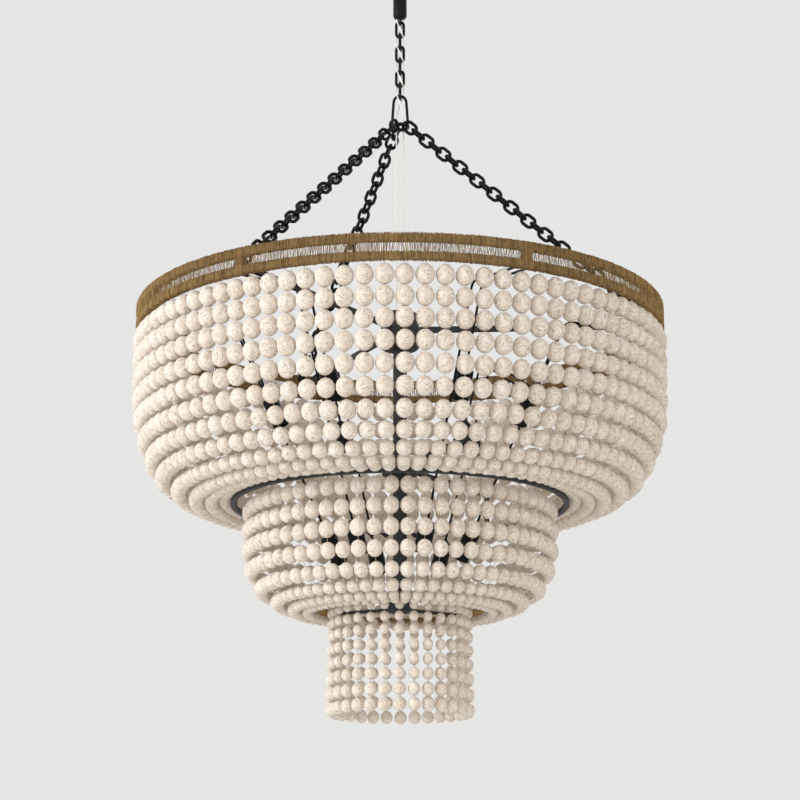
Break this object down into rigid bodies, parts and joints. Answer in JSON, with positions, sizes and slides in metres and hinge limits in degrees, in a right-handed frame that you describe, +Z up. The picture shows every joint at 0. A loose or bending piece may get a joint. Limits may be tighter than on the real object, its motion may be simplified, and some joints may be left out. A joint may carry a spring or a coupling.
{
  "type": "beaded chandelier",
  "caption": "Tiered beaded chandelier: wooden bead strands under a twine-wrapped hoop, hung by chains from a ceiling canopy, with bare lamp holders inside.",
  "frame": {"origin": "centre of the ceiling bracket's upper face, where it meets the ceiling", "axes": "+Z up towards the ceiling along the chain and column; +X to the picture's right; the picture looks along +Y"},
  "size_m": [0.656, 0.6562, 0.975],
  "materials": {
    "wood_beads": "whitewashed, matt, with fine grain and specks",
    "twine": "natural twine, tightly wound",
    "black_iron": "black, semi-matt",
    "dark_iron": "dark grey, satin",
    "clear_cord": "clear insulation, glossy"
  },
  "bodies": {
    "ceiling": {"ceiling_bracket": "dark_iron", "threaded_nipple": "dark_iron", "canopy": "black_iron", "canopy_nut": "black_iron"},
    "canopy_loop": {"canopy_loop": "black_iron"},
    "link_1": {"chain_link_1": "black_iron"},
    "link_2": {"chain_link_2": "black_iron"},
    "link_3": {"chain_link_3": "black_iron", "chain_cord_1": "clear_cord", "chain_cord_2": "clear_cord"},
    "link_4": {"chain_link_4": "black_iron"},
    "link_5": {"chain_link_5": "black_iron"},
    "link_6": {"chain_link_6": "black_iron"},
    "fixture": {"hanger_ring": "black_iron", "hoop_chain_1": "black_iron", "hoop_chain_2": "black_iron", "hoop_chain_3": "black_iron", "hoop_frame": "dark_iron", "twine_wrap_1": "twine", "twine_wrap_2": "twine", "twine_wrap_3": "twine", "top_hub": "dark_iron", "top_spoke_1": "dark_iron", "top_spoke_2": "dark_iron", "top_spoke_3": "dark_iron", "column": "dark_iron", "mid_spider": "dark_iron", "mid_ring": "dark_iron", "low_spider": "dark_iron", "low_ring": "dark_iron", "upper_lamp_1": "black_iron", "upper_lamp_2": "black_iron", "upper_lamp_3": "black_iron", "upper_lamp_4": "black_iron", "upper_lamp_5": "black_iron", "upper_lamp_6": "black_iron", "lower_lamp_1": "black_iron", "lower_lamp_2": "black_iron", "lower_lamp_3": "black_iron", "lower_lamp_4": "black_iron", "lower_lamp_5": "black_iron", "lower_lamp_6": "black_iron", "hub_cord_1": "clear_cord", "hub_cord_2": "clear_cord", "upper_strands_1": "wood_beads", "upper_strands_2": "wood_beads", "upper_strands_3": "wood_beads", "upper_strands_4": "wood_beads", "upper_strands_5": "wood_beads", "upper_strands_6": "wood_beads", "mid_strands_1": "wood_beads", "mid_strands_2": "wood_beads", "mid_strands_3": "wood_beads"},
    "low_sector_1": {"low_strands_1": "wood_beads"},
    "low_sector_2": {"low_strands_2": "wood_beads"},
    "low_sector_3": {"low_strands_3": "wood_beads"},
    "low_sector_4": {"low_strands_4": "wood_beads"},
    "low_sector_5": {"low_strands_5": "wood_beads"},
    "low_sector_6": {"low_strands_6": "wood_beads"}
  },
  "joints": [
    {"name": "canopy_loop_turn", "type": "hinge", "parent": "ceiling", "child": "canopy_loop", "pos_m": [0, 0, -0.04], "axis": [0, 0, 1], "range_deg": [-170, 170]},
    {"name": "link_1_swing", "type": "hinge", "parent": "canopy_loop", "child": "link_1", "pos_m": [0, 0, -0.09], "axis": [0, 1, 0], "range_deg": [-30, 30]},
    {"name": "link_2_swing", "type": "hinge", "parent": "link_1", "child": "link_2", "pos_m": [0, 0, -0.1069], "axis": [1, 0, 0], "range_deg": [-30, 30]},
    {"name": "link_3_swing", "type": "hinge", "parent": "link_2", "child": "link_3", "pos_m": [0, 0, -0.1236], "axis": [0, 1, 0], "range_deg": [-30, 30], "deforming": ["chain_cord_1", "chain_cord_2"]},
    {"name": "link_4_swing", "type": "hinge", "parent": "link_3", "child": "link_4", "pos_m": [0, 0, -0.1403], "axis": [1, 0, 0], "range_deg": [-30, 30]},
    {"name": "link_5_swing", "type": "hinge", "parent": "link_4", "child": "link_5", "pos_m": [0, 0, -0.157], "axis": [0, 1, 0], "range_deg": [-30, 30]},
    {"name": "link_6_swing", "type": "hinge", "parent": "link_5", "child": "link_6", "pos_m": [0, 0, -0.1737], "axis": [1, 0, 0], "range_deg": [-30, 30]},
    {"name": "hanger_swing", "type": "hinge", "parent": "link_6", "child": "fixture", "pos_m": [0, 0, -0.1904], "axis": [0, 1, 0], "range_deg": [-20, 20]},
    {"name": "low_strands_1_swing", "type": "hinge", "parent": "fixture", "child": "low_sector_1", "pos_m": [0.03197, -0.07388, -0.8396], "axis": [-0.9178, -0.3971, 0], "range_deg": [0, 10]},
    {"name": "low_strands_2_swing", "type": "hinge", "parent": "fixture", "child": "low_sector_2", "pos_m": [0.07997, -0.00925, -0.8396], "axis": [-0.1149, -0.9934, 0], "range_deg": [0, 10]},
    {"name": "low_strands_3_swing", "type": "hinge", "parent": "fixture", "child": "low_sector_3", "pos_m": [0.048, 0.06463, -0.8396], "axis": [0.8028, -0.5962, 0], "range_deg": [0, 10]},
    {"name": "low_strands_4_swing", "type": "hinge", "parent": "fixture", "child": "low_sector_4", "pos_m": [-0.03197, 0.07388, -0.8396], "axis": [0.9178, 0.3971, 0], "range_deg": [0, 10]},
    {"name": "low_strands_5_swing", "type": "hinge", "parent": "fixture", "child": "low_sector_5", "pos_m": [-0.07997, 0.00925, -0.8396], "axis": [0.1149, 0.9934, 0], "range_deg": [0, 10]},
    {"name": "low_strands_6_swing", "type": "hinge", "parent": "fixture", "child": "low_sector_6", "pos_m": [-0.048, -0.06463, -0.8396], "axis": [-0.8028, 0.5962, 0], "range_deg": [0, 10]}
  ]
}
